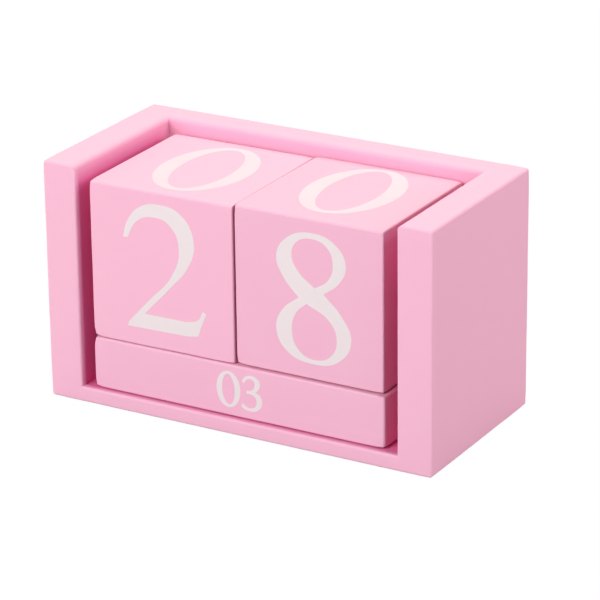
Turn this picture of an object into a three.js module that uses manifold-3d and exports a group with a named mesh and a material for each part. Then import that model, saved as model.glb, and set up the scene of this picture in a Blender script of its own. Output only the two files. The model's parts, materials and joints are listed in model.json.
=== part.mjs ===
// A perpetual desk calendar: two number cubes stand on three month bars in an open-fronted wooden case.
// Millimetres, +Z up. The origin is the middle of the case's underside and the open front faces -Y.

import * as THREE from 'three';
import { RoundedBoxGeometry } from 'three/addons/geometries/RoundedBoxGeometry.js';
import { mergeVertices } from 'three/addons/utils/BufferGeometryUtils.js';
import Module from 'manifold-3d';

const wasm = await Module();
wasm.setup();

// Number cubes
const cubeSide = 36;
const cubeEdgeRadius = 0.6;
const leftCubeTurn = THREE.MathUtils.degToRad(0.45); // set down by hand, a little askew
const leftCubeLead = 0.6; // the left cube stands this far ahead of the right one
const leftCubeGap = 2.2; // to the left board
const cubeGap = 0.12; // between the cubes, where they are closest
const rightCubeSetback = 2.05; // behind the case's front
const cubeBackGap = 0.45; // between the right cube and the back board

// Month bars: three of them are as deep as a cube, and each is a little longer than two cubes
const barNames = ['front_month_bar', 'middle_month_bar', 'rear_month_bar'];
const barGap = 0.1;
const barEdgeRadius = 0.5;
const barLead = 0.85; // the front bar stands this far ahead of the right cube
const leftBarGap = 2.7; // to the left board
const barSide = cubeSide / barNames.length;
const barSpareLength = 0.4;
const barLength = 2 * cubeSide + barSpareLength;

// Case boards
const sideBoardThickness = 8.2;
const backBoardThickness = 6.5;
const baseBoardThickness = 3.6;
const caseEdgeRadius = 0.7; // on the outside
const mouthEdgeRadius = 1.1; // round the pocket's mouth
const spareWidth = 6.6; // the case is this much wider inside than two cubes
const rimHeight = 3.2; // the case stands this far above the cubes
const restGap = 0.1; // slack below a loose block, so that it slides off what it stands on

// Heights of what stands in the case
const barBottomZ = baseBoardThickness + restGap;
const cubeBottomZ = barBottomZ + barSide + restGap;

// The case's overall size, 95 x 45 x 55, follows from what it holds
const innerHalfWidth = (2 * cubeSide + spareWidth) / 2;
const caseWidth = 2 * (innerHalfWidth + sideBoardThickness);
const innerDepth = rightCubeSetback + cubeSide + cubeBackGap;
const caseDepth = innerDepth + backBoardThickness;
const caseHeight = cubeBottomZ + cubeSide + rimHeight;
const frontY = -caseDepth / 2;
const backY = caseDepth / 2;
const innerBackY = frontY + innerDepth;

// Meshing
const roundSegments = 2; // on a rounded edge
const cutOverrun = 2; // how far a cutter runs past the case
const mergeTolerance = 1e-4;

const paint = (name, tint) => new THREE.MeshStandardMaterial({ name, color: tint, roughness: 0.5, metalness: 0 });
const casePaint = paint('case_paint', 0xf7bad2);
const cubePaint = paint('cube_paint', 0xf9bed6);
const barPaint = paint('bar_paint', 0xf7b9d0);

// A closed three.js geometry as a solid that can be joined and cut
function toSolid(geometry) {
  geometry.deleteAttribute('normal');
  geometry.deleteAttribute('uv');
  const merged = mergeVertices(geometry, mergeTolerance);
  const vertProperties = new Float32Array(merged.attributes.position.array);
  const triVerts = new Uint32Array(merged.index.array);
  return new wasm.Manifold(new wasm.Mesh({ numProp: 3, vertProperties, triVerts }));
}

function toMesh(solid, name, material) {
  const { vertProperties, triVerts } = solid.getMesh();
  const geometry = new THREE.BufferGeometry();
  geometry.setAttribute('position', new THREE.BufferAttribute(vertProperties, 3));
  geometry.setIndex(new THREE.BufferAttribute(triVerts, 1));
  const flat = geometry.toNonIndexed();
  flat.computeVertexNormals();
  const mesh = new THREE.Mesh(flat, material);
  mesh.name = name;
  return mesh;
}

// A block between two opposite corners
function block(low, high) {
  const size = high.map((value, i) => value - low[i]);
  const middle = high.map((value, i) => (value + low[i]) / 2);
  return toSolid(new THREE.BoxGeometry(...size).translate(...middle));
}

// A closed shape through a row of four-cornered rings, each listed the same way round
function loft(rings) {
  const corners = rings[0].length;
  const index = [];
  for (let ring = 0; ring + 1 < rings.length; ring += 1) {
    for (let corner = 0; corner < corners; corner += 1) {
      const a = ring * corners + corner;
      const b = ring * corners + (corner + 1) % corners;
      index.push(a, b, b + corners, a, b + corners, a + corners);
    }
  }
  const last = (rings.length - 1) * corners;
  index.push(2, 1, 0, 3, 2, 0);
  index.push(last, last + 1, last + 2, last, last + 2, last + 3);
  const geometry = new THREE.BufferGeometry();
  geometry.setAttribute('position', new THREE.Float32BufferAttribute(rings.flat(2), 3));
  geometry.setIndex(index);
  return toSolid(geometry);
}

// How far an eased edge has widened the pocket's mouth, and how far below the mouth that is
function easedSteps(radius) {
  const steps = [];
  const count = 2 * roundSegments;
  for (let step = 0; step <= count; step += 1) {
    const angle = (step / count) * (Math.PI / 2);
    steps.push({ widening: radius * (1 - Math.cos(angle)), below: radius * (1 - Math.sin(angle)) });
  }
  return steps;
}

// The pocket's mouth widens upwards at the top, which eases the inner edges of the rim
function topMouth() {
  const ring = (widening, z) => [
    [-innerHalfWidth - widening, frontY - cutOverrun, z],
    [innerHalfWidth + widening, frontY - cutOverrun, z],
    [innerHalfWidth + widening, innerBackY + widening, z],
    [-innerHalfWidth - widening, innerBackY + widening, z],
  ];
  const rings = easedSteps(mouthEdgeRadius).map(({ widening, below }) => ring(widening, caseHeight - below));
  rings.push(ring(mouthEdgeRadius, caseHeight + cutOverrun));
  return loft(rings);
}

// It widens forwards too, which eases the front edges of the side boards and of the base
function frontMouth() {
  const ring = (widening, y) => [
    [-innerHalfWidth - widening, y, baseBoardThickness - widening],
    [innerHalfWidth + widening, y, baseBoardThickness - widening],
    [innerHalfWidth + widening, y, caseHeight + cutOverrun],
    [-innerHalfWidth - widening, y, caseHeight + cutOverrun],
  ];
  const rings = easedSteps(mouthEdgeRadius).map(({ widening, below }) => ring(widening, frontY + below));
  rings.push(ring(mouthEdgeRadius, frontY - cutOverrun));
  return loft(rings);
}

// The glued and painted case before it is parted along its glue lines
function caseBlank() {
  const outside = new RoundedBoxGeometry(caseWidth, caseDepth, caseHeight, roundSegments, caseEdgeRadius);
  const pocket = block(
    [-innerHalfWidth, frontY - cutOverrun, baseBoardThickness],
    [innerHalfWidth, innerBackY, caseHeight + cutOverrun],
  );
  return toSolid(outside.translate(0, 0, caseHeight / 2))
    .subtract(pocket)
    .subtract(topMouth())
    .subtract(frontMouth());
}

function caseBoards() {
  const blank = caseBlank();
  const lowZ = -cutOverrun;
  const highZ = caseHeight + cutOverrun;
  const lowY = frontY - cutOverrun;
  const highY = backY + cutOverrun;
  const farX = caseWidth / 2 + cutOverrun;
  const parts = {
    base_board: block([-innerHalfWidth, lowY, lowZ], [innerHalfWidth, innerBackY, baseBoardThickness]),
    back_board: block([-innerHalfWidth, innerBackY, lowZ], [innerHalfWidth, highY, highZ]),
    left_side_board: block([-farX, lowY, lowZ], [-innerHalfWidth, highY, highZ]),
    right_side_board: block([innerHalfWidth, lowY, lowZ], [farX, highY, highZ]),
  };
  const boards = new THREE.Group();
  for (const [name, part] of Object.entries(parts)) {
    boards.add(toMesh(blank.intersect(part), name, casePaint));
  }
  return boards;
}

function monthBars() {
  const bars = new THREE.Group();
  const step = barSide + barGap;
  barNames.forEach((name, place) => {
    const geometry = new RoundedBoxGeometry(barLength, barSide, barSide, roundSegments, barEdgeRadius);
    const bar = new THREE.Mesh(geometry, barPaint);
    bar.name = name;
    bar.position.y = place * step;
    bars.add(bar);
  });
  const frontBarY = frontY + rightCubeSetback - barLead + barSide / 2;
  bars.position.set(-innerHalfWidth + leftBarGap + barLength / 2, frontBarY, barBottomZ + barSide / 2);
  return bars;
}

function numberCubes() {
  const cubes = new THREE.Group();
  const cube = (name) => {
    const geometry = new RoundedBoxGeometry(cubeSide, cubeSide, cubeSide, roundSegments, cubeEdgeRadius);
    const mesh = new THREE.Mesh(geometry, cubePaint);
    mesh.name = name;
    cubes.add(mesh);
    return mesh;
  };
  const turnedReach = (cubeSide / 2) * (Math.cos(leftCubeTurn) + Math.sin(Math.abs(leftCubeTurn)));
  const leftX = -innerHalfWidth + leftCubeGap + turnedReach;
  const rightX = leftX + turnedReach + cubeGap + cubeSide / 2;
  const rightY = frontY + rightCubeSetback + cubeSide / 2;
  const left = cube('left_number_cube');
  left.position.set(leftX, rightY - leftCubeLead, 0);
  left.rotation.z = leftCubeTurn;
  const right = cube('right_number_cube');
  right.position.set(rightX, rightY, 0);
  cubes.position.z = cubeBottomZ + cubeSide / 2;
  return cubes;
}

const calendar = new THREE.Group();
calendar.add(caseBoards(), monthBars(), numberCubes());

export default calendar;
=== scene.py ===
import json
import math
import random

import bmesh
import bpy
from mathutils import Matrix, Vector, geometry, noise

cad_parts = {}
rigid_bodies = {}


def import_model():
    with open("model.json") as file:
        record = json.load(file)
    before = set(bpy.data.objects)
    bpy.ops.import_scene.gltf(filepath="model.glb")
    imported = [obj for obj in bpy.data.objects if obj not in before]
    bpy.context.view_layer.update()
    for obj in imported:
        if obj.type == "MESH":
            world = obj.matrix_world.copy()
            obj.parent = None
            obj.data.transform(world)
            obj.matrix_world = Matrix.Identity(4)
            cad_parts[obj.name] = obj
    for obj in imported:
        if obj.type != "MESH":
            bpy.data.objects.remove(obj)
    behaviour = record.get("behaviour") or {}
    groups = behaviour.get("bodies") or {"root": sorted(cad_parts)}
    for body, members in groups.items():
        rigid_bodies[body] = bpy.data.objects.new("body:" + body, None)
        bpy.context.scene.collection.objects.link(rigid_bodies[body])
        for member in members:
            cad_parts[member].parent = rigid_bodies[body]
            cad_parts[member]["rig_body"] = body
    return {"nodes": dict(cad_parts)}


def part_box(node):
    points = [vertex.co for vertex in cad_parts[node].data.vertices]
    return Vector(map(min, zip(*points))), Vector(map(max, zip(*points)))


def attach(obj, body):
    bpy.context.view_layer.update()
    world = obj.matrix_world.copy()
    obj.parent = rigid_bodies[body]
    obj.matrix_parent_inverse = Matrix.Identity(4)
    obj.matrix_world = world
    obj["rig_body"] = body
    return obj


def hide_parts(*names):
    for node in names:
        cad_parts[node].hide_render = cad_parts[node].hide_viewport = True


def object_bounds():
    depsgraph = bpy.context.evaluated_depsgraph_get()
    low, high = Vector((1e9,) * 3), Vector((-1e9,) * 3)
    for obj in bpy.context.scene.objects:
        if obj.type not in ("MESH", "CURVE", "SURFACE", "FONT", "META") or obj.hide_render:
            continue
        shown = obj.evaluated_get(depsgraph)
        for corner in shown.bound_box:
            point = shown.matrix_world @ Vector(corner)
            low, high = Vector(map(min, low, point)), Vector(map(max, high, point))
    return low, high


# A perpetual desk calendar: number cubes on month bars in an open case, all painted pink.
# Metres, in the frame's own axes: the open front faces -Y.
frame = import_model()
cad_low, cad_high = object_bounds()

MM = 0.001
WELD_DISTANCE = 0.001 * MM  # points closer than this are one

# Camera, fitted to the straight edges of the case in the photograph
PHOTO_SIZE = 600
CAMERA_AZIMUTH = math.radians(30.03)
CAMERA_ELEVATION = math.radians(21.38)
CAMERA_ROLL = math.radians(-0.67)
CAMERA_PLACE = Vector((336.1, -575.6, 284.5)) * MM
FOCAL_PIXELS = 3282
SENSOR_WIDTH = 36
NEAR_CLIP = 10 * MM

# Case sizes
CASE_EDGE_RADIUS = 0.6 * MM
MOUTH_TOP_RADIUS = 1.35 * MM
MOUTH_FRONT_RADIUS = 0.5 * MM
CASE_CORNER_DEPTH = 0.1 * MM
CASE_LOOP_SPACING = 4 * MM
CASE_SEED = 7  # with this one the cut into boards leaves no sliver
CUTTER_OVERRUN = 5 * MM

# Where the pocket's painted shade sets in: behind the front rim, below the top rim and ahead of the
# back
POCKET_EDGE_FADE = 0.5 * MM
POCKET_RIM = 0.7 * MM
POCKET_SHADE = 1.9 * MM
POCKET_DEEP_FADE = 5.5 * MM
POCKET_RIM_SHARE = 0.3
POCKET_SHALLOW_SHARE = 0.2

# Block sizes
CUBE_TOP_RADIUS = 0.6 * MM
CUBE_EDGE_RADIUS = 0.4 * MM
CUBE_CORNER_DEPTH = 0.18 * MM
BAR_EDGE_RADIUS = 0.5 * MM
BAR_CORNER_DEPTH = 0.22 * MM
BLOCK_LOOP_SPACING = 2 * MM
LEFT_CUBE_TURN = math.radians(0.45)

# The cubes' tops meet with edges that are hardly rounded
SNUG_EDGE_RADIUS = 0.2 * MM
SNUG_SIDES = {"left_number_cube": "right", "right_number_cube": "left"}

# How much is sanded off a block's low and high ends. A negative value leaves it that much taller.
SANDED_OFF = {
    "left_number_cube": (Vector((0.3, 0, 0)) * MM, Vector((0, 0, 0))),
    "right_number_cube": (Vector((0.05, 0, 0.15)) * MM, Vector((0.2, 0, -0.25)) * MM),
    "front_month_bar": (Vector((0, 0, 0.1)) * MM, Vector((0, 0, 0))),
}

# What sanding by hand did to every edge
SHARP_ANGLE = math.radians(35)
EDGE_SEGMENTS = 5
WEIGHT_RADIUS = 1.5 * MM
WOBBLE_DEPTH = 0.04 * MM
WOBBLE_LENGTH = 7 * MM
WOBBLE_LIFT = 0.5
WOBBLE_PLACES = 100
CORNER_REACH = 2.5 * MM
CORNER_DEPTH_SHARES = (0.6, 1.3)
WORN_CORNER_DEPTH = 0.15 * MM
WORN_CORNERS = {
    "left_number_cube": Vector((-1, -1, -1)),
    "right_number_cube": Vector((-1, -1, -1)),
    "front_month_bar": Vector((-1, -1, 1)),
}

# Painted shade in the joints, darkening a face where it meets a neighbour: which face, the side of it
# that its shaded edge is on, how much, and, where the shade lies along a part of that edge alone, the
# end that it lies at
JOINT_SHADE_REACH = 1.5 * MM
JOINT_SHADE_FADE = 15 * MM
JOINT_SHADE_FOCUS = 3
SHADED_JOINTS = {
    "left_number_cube": [
        ("right", "front", 1),
        ("right", "top", 1.3, "back"),
        ("bottom", "front", 1),
        ("bottom", "left", 1),
    ],
    "right_number_cube": [
        ("left", "front", 1),
        ("bottom", "front", 1),
        ("bottom", "right", 1),
        ("right", "top", 0.5),
    ],
    "front_month_bar": [
        ("bottom", "front", 1),
        ("bottom", "right", 1),
        ("top", "right", 0.5),
    ],
}

# Printed numbers: the digits are drawn for a cube, and a bar has them smaller and bolder
DIGIT_HEIGHT = 29.4
DIGIT_GAP = 1.8
OVAL_POINTS = 16
FILM_THICKNESS = 0.05 * MM
# Painted shade on the top prints: how far they are mixed toward the pink, for the glare of the bright
# top light that washes out their white
TOP_PRINT_SHADE = 0.45
CUBE_LETTERING = {"height": DIGIT_HEIGHT * MM, "boldness": 0, "steps": 10}
BAR_LETTERING = {"height": 8 * MM, "boldness": 0.15 * MM, "steps": 4}

# Paint and ink, in linear colour
PINK = (0.88, 0.485, 0.635)
PATCHY_SHARES = (0.985, 0.94, 0.955)
WORN_PINK = (0.92, 0.53, 0.67)
# painted shade deep in the pocket, where little light gets in between the boards
POCKET_SHADOW_PINK = (0.80, 0.17, 0.41)
# painted shade in the joints between blocks
JOINT_SHADE_PINK = (0.36, 0.02, 0.12)
INK = (0.80, 0.73, 0.75)
THIN_INK_SHARES = (1, 0.95, 0.96)
# Painted shade: the right cube and the front bar are painted a touch darker, for the less light that
# reaches them
PAINTED_SHADE_FACTORS = {"right_number_cube": 0.965, "front_month_bar": 0.98}

# Finish. A range runs from where the noise is 0 to where it is 1.
SPECULAR = 0.22
PAINT_ROUGHNESS_RANGE = (0.54, 0.62)
MOTTLE_ROUGHNESS = 0.06
INK_ROUGHNESS_RANGE = (0.56, 0.64)
MOTTLE_SHARE = 0.7
WORN_RANGE = (0.1, 0.45)
# how strong the painted shade in the joints is, across the noise
JOINT_SHADE_RANGE = (0.8, 1)
# how far the painted shade on the top prints goes, across the noise
TOP_PRINT_SHADE_RANGE = (0.6, 1.4)

# Noise: waves to the millimetre and detail, and how high the bumps are, in millimetres
MOTTLE = (0.07, 3.0)
CLOUD = (0.35, 2.0)
PEEL = (1.3, 2.0)
GRAIN = (0.9, 3.0)
INK_COVER = (0.5, 4.0)
INK_PATCH = (0.08, 2.0)
GRAIN_STRETCH = 0.06
PEEL_HEIGHT = 0.006
GRAIN_HEIGHT = 0.01
CLOUD_HEIGHT = 0.03

X_AXIS = Vector((1, 0, 0))
Y_AXIS = Vector((0, 1, 0))
Z_AXIS = Vector((0, 0, 1))
AXES = (X_AXIS, Y_AXIS, Z_AXIS)
SIDES = {
    "left": -X_AXIS,
    "right": X_AXIS,
    "front": -Y_AXIS,
    "back": Y_AXIS,
    "bottom": -Z_AXIS,
    "top": Z_AXIS,
}


# Shader expressions
class Value:
    """What a node gives out. Arithmetic on it adds Math nodes."""

    def __init__(self, graph, socket):
        self.graph = graph
        self.socket = socket

    def combine(self, operation, left, right):
        return self.graph.add("ShaderNodeMath", {0: left, 1: right}, operation=operation)

    def __add__(self, other):
        return self.combine("ADD", self, other)

    def __radd__(self, other):
        return self.combine("ADD", other, self)

    def __mul__(self, other):
        return self.combine("MULTIPLY", self, other)

    def __rmul__(self, other):
        return self.combine("MULTIPLY", other, self)

    def between(self, low, high):
        """Noise from 0 to 1, spread from low to high."""
        return low + (high - low) * self


class Graph:
    """The nodes of a material or of the world."""

    def __init__(self, owner):
        owner.use_nodes = True
        self.owner = owner
        self.tree = owner.node_tree
        self.tree.nodes.clear()

    def add(self, kind, inputs=None, output=0, **settings):
        node = self.tree.nodes.new(kind)
        for name, setting in settings.items():
            setattr(node, name, setting)
        for key, value in (inputs or {}).items():
            if isinstance(value, Value):
                self.tree.links.new(value.socket, node.inputs[key])
            else:
                node.inputs[key].default_value = value
        return Value(self, node.outputs[output])

    def noise(self, place, per_mm, detail, stretch=(1, 1, 1)):
        """Noise from 0 to 1, with per_mm waves to the millimetre."""
        scale = tuple(share * per_mm / MM for share in stretch)
        scaled = self.add("ShaderNodeMapping", {"Vector": place, "Scale": scale})
        return self.add("ShaderNodeTexNoise", {"Vector": scaled, "Scale": 1.0, "Detail": detail})

    def fade(self, value, start, end):
        """0 where the value is at the start, and 1 from the end on."""
        limits = {"Value": value, "From Min": start, "From Max": end}
        return self.add("ShaderNodeMapRange", limits, interpolation_type="SMOOTHSTEP")

    def mix_colour(self, factor, first, second):
        """Index 6 and 7 are the colours of a Mix node, and 2 is the colour that it gives."""
        inputs = {0: factor, 6: first, 7: second}
        return self.add("ShaderNodeMix", inputs, output=2, data_type="RGBA")

    def coat(self, colour, roughness, height):
        """A finished coat of paint or ink, whose bumps are given in millimetres."""
        bump = self.add("ShaderNodeBump", {"Strength": 1.0, "Distance": MM, "Height": height})
        inputs = {
            "Base Color": colour,
            "Roughness": roughness,
            "Normal": bump,
            "Specular IOR Level": SPECULAR,
        }
        return self.finish(self.add("ShaderNodeBsdfPrincipled", inputs))

    def finish(self, shader, output_kind="ShaderNodeOutputMaterial"):
        output = self.tree.nodes.new(output_kind)
        self.tree.links.new(shader.socket, output.inputs["Surface"])
        return self.owner


def opaque(colour):
    return (*colour, 1.0)


def painted_wood(node, grain_axis, pocket=None):
    """Satin paint on sanded wood: faint mottling, orange peel, a hint of grain and paler edges, with
    painted shade in the pocket, in the joints and on some whole pieces.
    """
    graph = Graph(bpy.data.materials.new(f"{node}_paint"))
    place = graph.add("ShaderNodeTexCoord", output="Object")
    eased = graph.add("ShaderNodeAttribute", output="Fac", attribute_name="eased")
    along = tuple(GRAIN_STRETCH if axis is grain_axis else 1 for axis in AXES)
    mottle = graph.noise(place, *MOTTLE)
    cloud = graph.noise(place, *CLOUD)
    peel = graph.noise(place, *PEEL)
    grain = graph.noise(place, *GRAIN, along)
    # Painted shade: some pieces take the pink a touch darker
    paint = [channel * PAINTED_SHADE_FACTORS.get(node, 1) for channel in PINK]
    patchy = [channel * share for channel, share in zip(paint, PATCHY_SHARES)]
    blotches = MOTTLE_SHARE * mottle + (1 - MOTTLE_SHARE) * cloud
    tone = graph.mix_colour(blotches, opaque(patchy), opaque(paint))
    # Painted shade: the pocket's walls and floor turn deep pink between the boards, where little light
    # gets in
    if pocket:
        tone = graph.mix_colour(pocket_shadow_mask(graph, place, *pocket), tone, opaque(POCKET_SHADOW_PINK))
    wear_and_painted_shade = eased * cloud.between(*WORN_RANGE)
    colour = graph.mix_colour(wear_and_painted_shade, tone, opaque(WORN_PINK))
    # Painted shade: the paint turns dark close to the joints between blocks, where shade falls in the
    # narrow gaps
    dusty = graph.add("ShaderNodeAttribute", output="Fac", attribute_name="dusty")
    colour = graph.mix_colour(dusty * peel.between(*JOINT_SHADE_RANGE), colour, opaque(JOINT_SHADE_PINK))
    roughness = peel.between(*PAINT_ROUGHNESS_RANGE) + MOTTLE_ROUGHNESS * mottle
    height = PEEL_HEIGHT * peel + GRAIN_HEIGHT * grain + CLOUD_HEIGHT * cloud
    return graph.coat(colour, roughness, height)


def pocket_shadow_mask(graph, place, low, high):
    """1 deep between the case's boards, where painted shade darkens the paint, and 0 outside and at the
    rim.
    """
    x, y, z = (graph.add("ShaderNodeSeparateXYZ", {"Vector": place}, output=axis) for axis in "XYZ")
    edge = POCKET_EDGE_FADE
    between = graph.fade(x, low.x - edge, low.x) * graph.fade(x, high.x + edge, high.x)
    above = graph.fade(z, low.z - edge, low.z)
    at_rim = graph.fade(y, low.y, low.y + POCKET_RIM)
    in_shade = graph.fade(y, low.y + POCKET_RIM, low.y + POCKET_SHADE)
    behind = POCKET_RIM_SHARE * at_rim + (1 - POCKET_RIM_SHARE) * in_shade
    below_rim = graph.fade(z, high.z, high.z - POCKET_DEEP_FADE)
    ahead_of_back = graph.fade(y, high.y, high.y - POCKET_DEEP_FADE)
    within = graph.fade(y, high.y + edge, high.y)
    deep = POCKET_SHALLOW_SHARE + (1 - POCKET_SHALLOW_SHARE) * below_rim * ahead_of_back
    return between * above * behind * within * deep


def printing_ink():
    """Matt white ink that lets a little of the pink through, and more on the tops, as painted shade for
    the glare of the bright top light.
    """
    graph = Graph(bpy.data.materials.new("printing_ink"))
    place = graph.add("ShaderNodeTexCoord", output="Object")
    thinned = graph.add("ShaderNodeAttribute", output="Fac", attribute_name="thinned")
    cover = graph.noise(place, *INK_COVER)
    patch = graph.noise(place, *INK_PATCH)
    peel = graph.noise(place, *PEEL)
    thin = [channel * share for channel, share in zip(INK, THIN_INK_SHARES)]
    colour = graph.mix_colour(cover, opaque(thin), opaque(INK))
    # Painted shade: the prints on the tops are mixed toward the pink, for the glare of the bright top
    # light
    wear_and_painted_shade = thinned * patch.between(*TOP_PRINT_SHADE_RANGE)
    colour = graph.mix_colour(wear_and_painted_shade, colour, opaque(PINK))
    return graph.coat(colour, cover.between(*INK_ROUGHNESS_RANGE), PEEL_HEIGHT * peel)


# Shapes
def block(low, high):
    mesh = bmesh.new()
    bmesh.ops.create_cube(mesh, size=1)
    bmesh.ops.scale(mesh, vec=high - low, verts=mesh.verts)
    bmesh.ops.translate(mesh, vec=(low + high) / 2, verts=mesh.verts)
    return mesh


def to_object(mesh, name):
    data = bpy.data.meshes.new(name)
    mesh.to_mesh(data)
    mesh.free()
    made = bpy.data.objects.new(name, data)
    bpy.context.scene.collection.objects.link(made)
    return made


def evaluated(piece):
    """The mesh that a piece's modifiers make."""
    bpy.context.view_layer.update()
    result = bmesh.new()
    result.from_object(piece, bpy.context.evaluated_depsgraph_get())
    return result


def cut(mesh, tool, operation):
    """The mesh after a boolean with the tool. Both are used up."""
    subject = to_object(mesh, "subject")
    cutter = to_object(tool, "cutter")
    modifier = subject.modifiers.new("cut", "BOOLEAN")
    modifier.operation = operation
    modifier.object = cutter
    modifier.solver = "EXACT"
    result = evaluated(subject)
    for spent in (subject, cutter):
        bpy.data.objects.remove(spent)
    return result


def round_edges(mesh, radius_of):
    """Rounds each convex edge, by the radius that it is given, and returns what it was before."""
    mesh.normal_update()
    lines = []
    weights = mesh.edges.layers.float.new("bevel_weight_edge")
    for edge in mesh.edges:
        if edge.calc_face_angle_signed(0) > SHARP_ANGLE:
            start, end = edge.verts[0].co.copy(), edge.verts[1].co.copy()
            radius = radius_of(start, end)
            edge[weights] = radius / WEIGHT_RADIUS
            lines.append((start, end, radius))
    subject = to_object(mesh, "subject")
    modifier = subject.modifiers.new("round", "BEVEL")
    modifier.limit_method = "WEIGHT"
    modifier.width = WEIGHT_RADIUS
    modifier.segments = EDGE_SEGMENTS
    modifier.miter_outer = "MITER_ARC"
    rounded = evaluated(subject)
    bpy.data.objects.remove(subject)
    return rounded, lines


def add_loops(mesh, spacing):
    """Cuts the mesh into squares, so that its edges can be worn unevenly."""
    for axis in AXES:
        reach = [vert.co.dot(axis) for vert in mesh.verts]
        start = min(reach)
        count = round((max(reach) - start) / spacing)
        step = (max(reach) - start) / count
        for number in range(1, count):
            geom = mesh.verts[:] + mesh.edges[:] + mesh.faces[:]
            place = axis * (start + number * step)
            bmesh.ops.bisect_plane(mesh, geom=geom, dist=WELD_DISTANCE, plane_co=place, plane_no=axis)


def ease_edges(mesh, radius_of, spacing, corner_depth, seed, worn_corner=None):
    """Rounds every convex edge, wears the edges unevenly and the corners more, and notes where."""
    mesh, lines = round_edges(mesh, radius_of)
    add_loops(mesh, spacing)
    mesh.normal_update()
    eased = mesh.verts.layers.float.new("eased")
    draw = random.Random(seed)
    ends = {tuple(point) for line in lines for point in line[:2]}
    corners = [(Vector(end), corner_depth * draw.uniform(*CORNER_DEPTH_SHARES)) for end in sorted(ends)]
    start = Vector([draw.uniform(0, WOBBLE_PLACES) for _ in AXES])
    centre = sum((corner for corner, _ in corners), Vector()) / len(corners)
    if worn_corner:
        corners.append((max((corner for corner, _ in corners), key=worn_corner.dot), WORN_CORNER_DEPTH))
    for vert in mesh.verts:
        nearness = max(edge_nearness(vert.co, *line) for line in lines)
        vert[eased] = nearness
        wobble = noise.noise(start + vert.co / WOBBLE_LENGTH) + WOBBLE_LIFT
        move = -vert.normal * WOBBLE_DEPTH * nearness * max(0.0, wobble)
        for corner, depth in corners:
            closeness = max(0.0, 1 - (vert.co - corner).length / CORNER_REACH)
            inward = centre - corner
            inward = Vector([math.copysign(1, part) for part in inward]).normalized()
            move += inward * depth * closeness * closeness * (3 - 2 * closeness)
        vert.co += move
    return mesh


def paint_joint_shade(mesh, joint_edges):
    """Notes where painted shade goes: on a face that meets a neighbour, close to its open edge."""
    mesh.normal_update()
    dusty = mesh.verts.layers.float.new("dusty")
    places = {side: max(vert.co.dot(SIDES[side]) for vert in mesh.verts) for side in SIDES}

    def nearness(vert, side, reach):
        return max(0.0, 1 - (places[side] - vert.co.dot(SIDES[side])) / reach)

    for face, side, amount, *end in joint_edges:
        for vert in mesh.verts:
            facing = max(0.0, vert.normal.dot(SIDES[face]))
            share = nearness(vert, end[0], JOINT_SHADE_FADE) if end else 1
            joint_darkening = amount * share * nearness(vert, side, JOINT_SHADE_REACH) * facing ** JOINT_SHADE_FOCUS
            vert[dusty] = max(vert[dusty], min(1.0, joint_darkening))


def edge_nearness(point, start, end, radius):
    """1 on the crest of a rounded edge, and 0 where the flat faces begin."""
    gap = distance_to_line(point, start, end)
    return min(1.0, max(0.0, (radius - gap) / (radius * (2 - math.sqrt(2)))))


def distance_to_line(point, start, end):
    nearest, share = geometry.intersect_point_line(point, start, end)
    if share < 0:
        nearest = start
    if share > 1:
        nearest = end
    return (point - nearest).length


def finish_piece(mesh, name, material, node):
    """Hands a finished shape to the CAD node that it stands for."""
    piece = to_object(mesh, name)
    piece.data.shade_smooth()
    piece.data.set_sharp_from_angle(angle=SHARP_ANGLE)
    piece.data.materials.append(material)
    weighted = piece.modifiers.new("weighted_normals", "WEIGHTED_NORMAL")
    weighted.keep_sharp = True
    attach(piece, frame["nodes"][node]["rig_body"])
    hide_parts(node)
    return piece


# Case
def case_blank():
    """The glued case in one piece, with its pocket cut and its edges eased."""
    left_low, left_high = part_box("left_side_board")
    right_low, right_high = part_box("right_side_board")
    floor_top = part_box("base_board")[1].z
    inner_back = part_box("back_board")[0].y
    over = CUTTER_OVERRUN
    outside = block(left_low, right_high)
    pocket_low = Vector((left_high.x, left_low.y - over, floor_top))
    pocket_high = Vector((right_low.x, inner_back, left_high.z + over))
    blank = cut(outside, block(pocket_low, pocket_high), "DIFFERENCE")

    def radius_of(start, end):
        middle = (start + end) / 2
        between = left_high.x - WELD_DISTANCE < middle.x < right_low.x + WELD_DISTANCE
        above = middle.z > floor_top + WELD_DISTANCE
        ahead = middle.y < inner_back + WELD_DISTANCE
        if not (between and above and ahead):
            return CASE_EDGE_RADIUS
        upright = abs(start.z - end.z) > abs(start.y - end.y) + abs(start.x - end.x)
        return MOUTH_FRONT_RADIUS if upright else MOUTH_TOP_RADIUS

    return ease_edges(blank, radius_of, CASE_LOOP_SPACING, CASE_CORNER_DEPTH, CASE_SEED)


def case_boards():
    blank = case_blank()
    low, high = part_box("left_side_board")[0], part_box("right_side_board")[1]
    inner_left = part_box("left_side_board")[1].x
    inner_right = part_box("right_side_board")[0].x
    floor_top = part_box("base_board")[1].z
    inner_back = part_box("back_board")[0].y
    pocket = Vector((inner_left, low.y, floor_top)), Vector((inner_right, inner_back, high.z))
    over = Vector((1, 1, 1)) * CUTTER_OVERRUN
    low, high = low - over, high + over
    regions = {
        "base_board": ((inner_left, low.y, low.z), (inner_right, inner_back, floor_top)),
        "back_board": ((inner_left, inner_back, low.z), (inner_right, high.y, high.z)),
        "left_side_board": ((low.x, low.y, low.z), (inner_left, high.y, high.z)),
        "right_side_board": ((inner_right, low.y, low.z), (high.x, high.y, high.z)),
    }
    for node, (region_low, region_high) in regions.items():
        region = block(Vector(region_low), Vector(region_high))
        board = cut(blank.copy(), region, "INTERSECT")
        bmesh.ops.dissolve_degenerate(board, dist=WELD_DISTANCE, edges=board.edges)
        grain = Y_AXIS if "side" in node else X_AXIS
        finish = painted_wood(node, grain, pocket)
        piece = finish_piece(board, f"{node}_painted", finish, node)
    blank.free()


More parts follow.
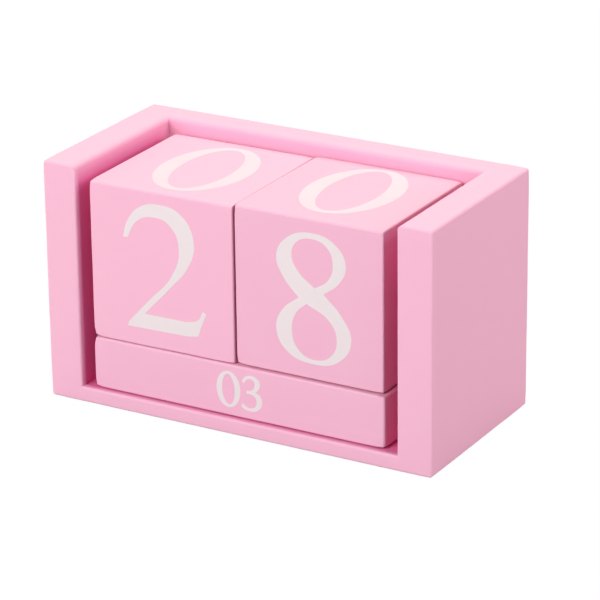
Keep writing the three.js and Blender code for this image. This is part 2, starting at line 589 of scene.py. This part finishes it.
# Blocks
def node_frame(node, turn):
    """The middle and size of a block's node, which is turned about the vertical."""
    low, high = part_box(node)
    size = high - low
    spread = math.cos(turn) + math.sin(abs(turn))
    return (low + high) / 2, Vector((size.x / spread, size.y / spread, size.z))


def block_ends(node, size):
    """The two ends of a sanded block, from its node's middle."""
    off_low, off_high = SANDED_OFF.get(node, (Vector(), Vector()))
    return off_low - size / 2, size / 2 - off_high


def add_block(node, radius, top_radius, corner_depth, turn, seed):
    """A sanded and painted block. Its top edges along X have a radius of their own."""
    middle, size = node_frame(node, turn)
    snug_side = SIDES.get(SNUG_SIDES.get(node), Vector())

    def radius_of(start, end):
        on_top = min(start.z, end.z) > 0
        if on_top and min(start.dot(snug_side), end.dot(snug_side)) > 0:
            return SNUG_EDGE_RADIUS
        level_across = abs(start.x - end.x) > abs(start.y - end.y) + abs(start.z - end.z)
        return top_radius if on_top and level_across else radius

    mesh = block(*block_ends(node, size))
    mesh = ease_edges(mesh, radius_of, BLOCK_LOOP_SPACING, corner_depth, seed, WORN_CORNERS.get(node))
    paint_joint_shade(mesh, SHADED_JOINTS.get(node, ()))
    bmesh.ops.rotate(mesh, cent=(0, 0, 0), matrix=Matrix.Rotation(turn, 3, "Z"), verts=mesh.verts)
    bmesh.ops.translate(mesh, vec=middle, verts=mesh.verts)
    piece = finish_piece(mesh, f"{node}_painted", painted_wood(node, X_AXIS), node)


# Digit outlines, in millimetres from the digit's middle on a cube
CORNER, BEND = "VECTOR", "AUTO"


def oval(middle, half_width, half_height, lean):
    """A closed ring of bends, whose top leans sideways."""
    ring = []
    for step in range(OVAL_POINTS):
        angle = 2 * math.pi * step / OVAL_POINTS
        up = half_height * math.sin(angle)
        ring.append((BEND, middle[0] + half_width * math.cos(angle) + lean * up, middle[1] + up))
    return ring


ZERO = [oval((0, 0), 10.4, 14.9, 0), oval((0, 0), 6.3, 13.4, -0.04)]

ONE = [[
    (CORNER, 2.2, 14.8),
    (CORNER, 2.2, -11.2),
    (BEND, 3.3, -13.0),
    (CORNER, 7.2, -13.6),
    (CORNER, 7.2, -14.7),
    (CORNER, -7.2, -14.7),
    (CORNER, -7.2, -13.6),
    (BEND, -3.2, -13.0),
    (CORNER, -2.1, -11.2),
    (CORNER, -2.1, 8.8),
    (BEND, -3.0, 10.3),
    (CORNER, -7.4, 9.3),
    (CORNER, -7.6, 10.4),
    (CORNER, 1.4, 14.8),
]]

TWO = [[
    (CORNER, -10.2, 5.8),
    (BEND, -9.1, 9.6),
    (BEND, -5.7, 13.4),
    (BEND, -0.7, 14.6),
    (BEND, 4.5, 13.1),
    (BEND, 7.6, 7.2),
    (BEND, 5.8, 1.2),
    (BEND, 1.5, -3.9),
    (CORNER, -5.3, -11.1),
    (CORNER, 5.3, -11.1),
    (BEND, 8.3, -10.1),
    (CORNER, 9.4, -8.0),
    (CORNER, 10.3, -8.4),
    (BEND, 9.2, -11.0),
    (CORNER, 8.2, -13.9),
    (CORNER, 5.5, -14.4),
    (CORNER, -9.7, -14.6),
    (CORNER, -9.3, -13.5),
    (BEND, -3.9, -7.6),
    (BEND, 1.7, -1.4),
    (BEND, 3.8, 5.0),
    (BEND, 1.8, 10.1),
    (BEND, -2.1, 11.5),
    (BEND, -6.7, 9.9),
    (CORNER, -9.0, 6.0),
]]

THREE = [[
    (CORNER, -8.4, 9.3),
    (BEND, -5.9, 13.1),
    (BEND, -0.6, 14.7),
    (BEND, 4.9, 13.0),
    (BEND, 7.1, 8.9),
    (BEND, 5.4, 4.6),
    (CORNER, 2.2, 1.9),
    (BEND, 6.8, -0.9),
    (BEND, 8.8, -6.2),
    (BEND, 5.6, -12.3),
    (BEND, -1.6, -14.7),
    (BEND, -6.6, -13.9),
    (CORNER, -9.3, -12.2),
    (CORNER, -8.4, -10.2),
    (BEND, -5.2, -12.3),
    (BEND, -1.4, -13.0),
    (BEND, 3.2, -11.0),
    (BEND, 4.7, -6.4),
    (BEND, 3.0, -1.8),
    (BEND, -1.4, 0.0),
    (CORNER, -4.6, 0.0),
    (CORNER, -4.6, 1.4),
    (BEND, -0.6, 2.2),
    (BEND, 2.2, 4.6),
    (BEND, 3.1, 8.2),
    (BEND, 1.9, 11.6),
    (BEND, -1.6, 12.9),
    (BEND, -5.0, 11.7),
    (CORNER, -7.2, 8.6),
]]

FOUR = [
    [
        (CORNER, 5.2, 14.7),
        (CORNER, 5.2, -4.9),
        (CORNER, 10.2, -4.9),
        (CORNER, 9.5, -7.6),
        (CORNER, 5.2, -7.6),
        (CORNER, 5.2, -14.7),
        (CORNER, 1.1, -14.7),
        (CORNER, 1.1, -7.6),
        (CORNER, -10.4, -7.6),
        (CORNER, -10.4, -6.2),
        (CORNER, 3.0, 14.7),
    ],
    [
        (CORNER, 1.1, -4.9),
        (CORNER, 1.1, 9.3),
        (CORNER, -8.0, -4.9),
    ],
]

FIVE = [[
    (CORNER, -6.4, 14.3),
    (CORNER, 6.6, 14.3),
    (CORNER, 8.0, 14.9),
    (CORNER, 7.0, 10.9),
    (CORNER, -4.5, 10.9),
    (CORNER, -5.1, 4.4),
    (BEND, -0.4, 5.3),
    (BEND, 5.9, 3.0),
    (BEND, 8.8, -3.8),
    (BEND, 6.0, -11.3),
    (BEND, -1.2, -14.7),
    (BEND, -6.2, -14.2),
    (CORNER, -9.4, -12.9),
    (CORNER, -8.8, -10.6),
    (BEND, -5.4, -12.5),
    (BEND, -1.4, -12.9),
    (BEND, 3.0, -10.4),
    (BEND, 4.6, -4.8),
    (BEND, 2.6, 0.9),
    (BEND, -2.2, 2.9),
    (CORNER, -7.4, 2.0),
]]

SIX = [
    [
        (CORNER, 7.6, 14.9),
        (BEND, 0.4, 12.5),
        (BEND, -5.8, 6.6),
        (BEND, -9.2, -2.8),
        (BEND, -7.0, -11.6),
        (BEND, 0.0, -14.7),
        (BEND, 6.8, -12.0),
        (BEND, 9.3, -5.2),
        (BEND, 7.2, 1.2),
        (BEND, 1.8, 3.7),
        (CORNER, -4.2, 1.7),
        (BEND, -1.6, 7.4),
        (BEND, 3.0, 11.6),
        (CORNER, 8.2, 13.8),
    ],
    oval((0.15, -5.8), 5.0, 7.7, -0.06),
]

SEVEN = [[
    (CORNER, -8.6, 14.4),
    (CORNER, 9.4, 14.4),
    (CORNER, 9.4, 13.2),
    (BEND, 3.6, 1.8),
    (BEND, -0.2, -8.0),
    (CORNER, -1.9, -14.7),
    (CORNER, -6.3, -14.7),
    (BEND, -3.0, -6.2),
    (BEND, 1.4, 2.8),
    (CORNER, 6.4, 11.0),
    (CORNER, -5.4, 11.0),
    (BEND, -8.0, 10.2),
    (CORNER, -9.2, 8.2),
    (CORNER, -10.2, 8.5),
]]

EIGHT = [
    [
        (BEND, 0.0, 14.7),
        (BEND, -6.4, 12.6),
        (BEND, -8.8, 8.2),
        (BEND, -7.0, 3.6),
        (CORNER, -3.5, -0.2),
        (BEND, -7.6, -3.8),
        (BEND, -9.0, -8.1),
        (BEND, -6.7, -12.7),
        (BEND, -0.3, -14.7),
        (BEND, 6.2, -13.0),
        (BEND, 9.1, -7.7),
        (BEND, 6.8, -2.7),
        (CORNER, 2.5, 1.5),
        (BEND, 6.2, 4.5),
        (BEND, 7.9, 8.5),
        (BEND, 5.8, 12.7),
    ],
    [
        (BEND, -0.2, 13.4),
        (BEND, -3.9, 12.1),
        (BEND, -5.1, 9.0),
        (BEND, -3.5, 5.6),
        (CORNER, 0.4, 2.5),
        (BEND, 3.6, 4.8),
        (BEND, 4.8, 8.3),
        (BEND, 3.5, 12.0),
    ],
    [
        (CORNER, -1.6, -1.3),
        (BEND, -4.2, -3.9),
        (BEND, -5.2, -7.9),
        (BEND, -3.6, -12.2),
        (BEND, 0.6, -13.7),
        (BEND, 4.4, -11.9),
        (BEND, 5.6, -7.9),
        (BEND, 3.9, -4.3),
    ],
]

NINE = [[(kind, -x, -y) for kind, x, y in outline] for outline in SIX]
DIGITS = [ZERO, ONE, TWO, THREE, FOUR, FIVE, SIX, SEVEN, EIGHT, NINE]


def digit_width(digit):
    across = [x for _, x, _ in DIGITS[int(digit)][0]]
    return min(across), max(across)


def add_outline(curve, outline, shift, scale):
    spline = curve.splines.new("BEZIER")
    spline.bezier_points.add(len(outline) - 1)
    spline.use_cyclic_u = True
    for point, (kind, x, y) in zip(spline.bezier_points, outline):
        point.co = ((x + shift) * scale, y * scale, 0)
        point.handle_left_type = kind
        point.handle_right_type = kind


def number_film(number, height, boldness, steps):
    """A thin closed film in the shape of a number, round its middle, facing +Z."""
    curve = bpy.data.curves.new("number", "CURVE")
    curve.dimensions = "2D"
    curve.fill_mode = "BOTH"
    curve.resolution_u = steps
    curve.extrude = FILM_THICKNESS / 2
    curve.offset = boldness
    spans = [digit_width(digit) for digit in number]
    total = sum(right - left for left, right in spans) + DIGIT_GAP * (len(number) - 1)
    start = -total / 2
    for digit, (left, right) in zip(number, spans):
        for outline in DIGITS[int(digit)]:
            add_outline(curve, outline, start - left, height / DIGIT_HEIGHT)
        start += right - left + DIGIT_GAP
    holder = bpy.data.objects.new("number", curve)
    bpy.context.scene.collection.objects.link(holder)
    bpy.context.view_layer.update()
    flat = bpy.data.meshes.new_from_object(holder.evaluated_get(bpy.context.evaluated_depsgraph_get()))
    bpy.data.objects.remove(holder)
    return flat


# Each face of a block: which way it faces, and which way is up on it
CUBE_FACES = {
    "front": (-Y_AXIS, Z_AXIS),
    "top": (Z_AXIS, Y_AXIS),
    "back": (Y_AXIS, Z_AXIS),
    "bottom": (-Z_AXIS, -Y_AXIS),
    "left": (-X_AXIS, Z_AXIS),
    "right": (X_AXIS, Z_AXIS),
}
BAR_FACES = {
    "front": (-Y_AXIS, Z_AXIS),
    "top": (Z_AXIS, Y_AXIS),
    "back": (Y_AXIS, -Z_AXIS),
    "bottom": (-Z_AXIS, -Y_AXIS),
}

# What is printed on each face, and how far right of and above the face's middle
CUBE_PRINTS = {
    "left_number_cube": {
        "front": ("2", 0.9, 0.7),
        "top": ("0", 1.1, 0.1),
        "back": ("4", 0.4, 0.3),
        "bottom": ("5", 0.2, 0.6),
        "left": ("3", 0.5, 0.2),
        "right": ("1", 0.3, 0.5),
    },
    "right_number_cube": {
        "front": ("8", 1.1, 0.4),
        "top": ("0", 0.2, 1.4),
        "back": ("6", 0.3, 0.4),
        "bottom": ("7", 0.5, 0.2),
        "left": ("1", 0.2, 0.3),
        "right": ("2", 0.6, 0.4),
    },
}
BAR_PRINTS = {
    "front_month_bar": {
        "front": ("03", 0.8, 0.3),
        "top": ("04", 0.5, 0.1),
        "back": ("01", 0.3, 0.2),
        "bottom": ("02", 0.6, 0.1),
    },
    "middle_month_bar": {
        "front": ("07", 0.4, 0.2),
        "top": ("08", 0.6, 0.1),
        "back": ("05", 0.2, 0.1),
        "bottom": ("06", 0.5, 0.2),
    },
    "rear_month_bar": {
        "front": ("11", 0.5, 0.2),
        "top": ("12", 0.3, 0.2),
        "back": ("09", 0.6, 0.1),
        "bottom": ("10", 0.4, 0.1),
    },
}


def print_numbers(node, faces, prints, lettering, turn, ink):
    """All the numbers on one block, as films on its faces."""
    middle, size = node_frame(node, turn)
    low_end, high_end = block_ends(node, size)
    stand = Matrix.Translation(middle) @ Matrix.Rotation(turn, 4, "Z")
    films = bmesh.new()
    thinned = films.verts.layers.float.new("thinned")
    printed = 0
    for face, (number, right_shift, up_shift) in prints.items():
        outward, up = faces[face]
        across = up.cross(outward)
        reach = max(outward.dot(low_end), outward.dot(high_end))
        place = outward * reach + across * (right_shift * MM) + up * (up_shift * MM)
        lay = Matrix((across, up, outward)).transposed().to_4x4()
        flat = number_film(number, **lettering)
        flat.transform(stand @ Matrix.Translation(place) @ lay)
        films.from_mesh(flat)
        bpy.data.meshes.remove(flat)
        films.verts.ensure_lookup_table()
        for vert in films.verts[printed:]:
            # Painted shade: the prints on the top faces are marked to be mixed toward the pink
            vert[thinned] = TOP_PRINT_SHADE if face == "top" else 0
        printed = len(films.verts)
    bmesh.ops.remove_doubles(films, verts=films.verts, dist=WELD_DISTANCE)
    bmesh.ops.recalc_face_normals(films, faces=films.faces)
    piece = to_object(films, f"{node}_numbers")
    piece.data.materials.append(ink)
    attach(piece, frame["nodes"][node]["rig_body"])


def add_blocks():
    ink = printing_ink()
    turns = {"left_number_cube": LEFT_CUBE_TURN, "right_number_cube": 0}
    for seed, (node, turn) in enumerate(turns.items()):
        add_block(node, CUBE_EDGE_RADIUS, CUBE_TOP_RADIUS, CUBE_CORNER_DEPTH, turn, seed)
        prints = CUBE_PRINTS[node]
        print_numbers(node, CUBE_FACES, prints, CUBE_LETTERING, turn, ink)
    for seed, node in enumerate(BAR_PRINTS, start=len(turns)):
        add_block(node, BAR_EDGE_RADIUS, BAR_EDGE_RADIUS, BAR_CORNER_DEPTH, 0, seed)
        prints = BAR_PRINTS[node]
        print_numbers(node, BAR_FACES, prints, BAR_LETTERING, 0, ink)


# Stage
WHITE = (1, 1, 1)
FLOOR_SIZE = 6
FLOOR_GREY = (0.4, 0.4, 0.4)
FLOOR_GLOW = 0.93
GLOW_STRENGTH = 1.05
LIGHT_BOUNCES = 16
LAMP_DISTANCE = 1.3
LAMP_SIZE = 0.9
LAMPS = {
    "front": {"azimuth": -15, "elevation": 25, "power": 17.2, "tint": (1, 1, 1)},
    "right": {"azimuth": 98, "elevation": 30, "power": 13, "tint": (1, 0.92, 0.94)},
    "back": {"azimuth": 204, "elevation": 54, "power": 13.2, "tint": (1, 0.99, 0.79)},
    "left": {"azimuth": -108, "elevation": 8, "power": 6, "tint": (1, 1, 1)},
}


def direction(azimuth, elevation):
    """Azimuth 0 is in front of the calendar and 90 on its right."""
    level = math.cos(elevation)
    return Vector((math.sin(azimuth) * level, -math.cos(azimuth) * level, math.sin(elevation)))


def backdrop_share(graph):
    """1 on rays that see the backdrop as such, and 0 on those that gather its light."""
    share = 0.0
    for kind in ("Camera", "Glossy", "Transmission"):
        seen = graph.add("ShaderNodeLightPath", output=f"Is {kind} Ray")
        share = graph.add("ShaderNodeMath", {0: share, 1: seen}, operation="MAXIMUM")
    return share


def add_floor():
    mesh = bmesh.new()
    bmesh.ops.create_grid(mesh, x_segments=1, y_segments=1, size=FLOOR_SIZE / 2)
    floor = to_object(mesh, "floor")
    graph = Graph(bpy.data.materials.new("floor_paper"))
    paper = graph.add("ShaderNodeBsdfDiffuse", {"Color": opaque(FLOOR_GREY)})
    glow = graph.add("ShaderNodeEmission", {"Color": opaque(WHITE), "Strength": GLOW_STRENGTH})
    share = backdrop_share(graph) * FLOOR_GLOW
    surface = graph.add("ShaderNodeMixShader", {0: share, 1: paper, 2: glow})
    floor.data.materials.append(graph.finish(surface))


def add_world():
    graph = Graph(bpy.data.worlds.new("studio"))
    inputs = {"Color": opaque(WHITE), "Strength": backdrop_share(graph)}
    background = graph.add("ShaderNodeBackground", inputs)
    bpy.context.scene.world = graph.finish(background, "ShaderNodeOutputWorld")


def add_lamp(name, azimuth, elevation, power, tint):
    lamp = bpy.data.lights.new(name, "AREA")
    lamp.shape = "SQUARE"
    lamp.size = LAMP_SIZE
    lamp.energy = power
    lamp.color = tint
    holder = bpy.data.objects.new(name, lamp)
    toward = direction(math.radians(azimuth), math.radians(elevation))
    holder.location = (cad_low + cad_high) / 2 + toward * LAMP_DISTANCE
    holder.rotation_euler = toward.to_track_quat("Z", "Y").to_euler()
    bpy.context.scene.collection.objects.link(holder)


def add_camera():
    data = bpy.data.cameras.new("camera")
    data.sensor_width = SENSOR_WIDTH
    data.lens = FOCAL_PIXELS * data.sensor_width / PHOTO_SIZE
    data.clip_start = NEAR_CLIP
    camera = bpy.data.objects.new("camera", data)
    back = direction(CAMERA_AZIMUTH, CAMERA_ELEVATION)
    right = Vector((math.cos(CAMERA_AZIMUTH), math.sin(CAMERA_AZIMUTH), 0))
    level = Matrix((right, back.cross(right), back)).transposed()
    turned = level @ Matrix.Rotation(CAMERA_ROLL, 3, "Z")
    camera.matrix_world = Matrix.Translation(CAMERA_PLACE) @ turned.to_4x4()
    bpy.context.scene.collection.objects.link(camera)
    bpy.context.scene.camera = camera


case_boards()
add_blocks()
add_floor()
add_world()
for lamp_name, lamp_values in LAMPS.items():
    add_lamp(f"{lamp_name}_lamp", **lamp_values)
add_camera()
bpy.context.scene.view_settings.view_transform = "Standard"
bpy.context.scene.cycles.max_bounces = LIGHT_BOUNCES
bpy.context.scene.cycles.diffuse_bounces = LIGHT_BOUNCES
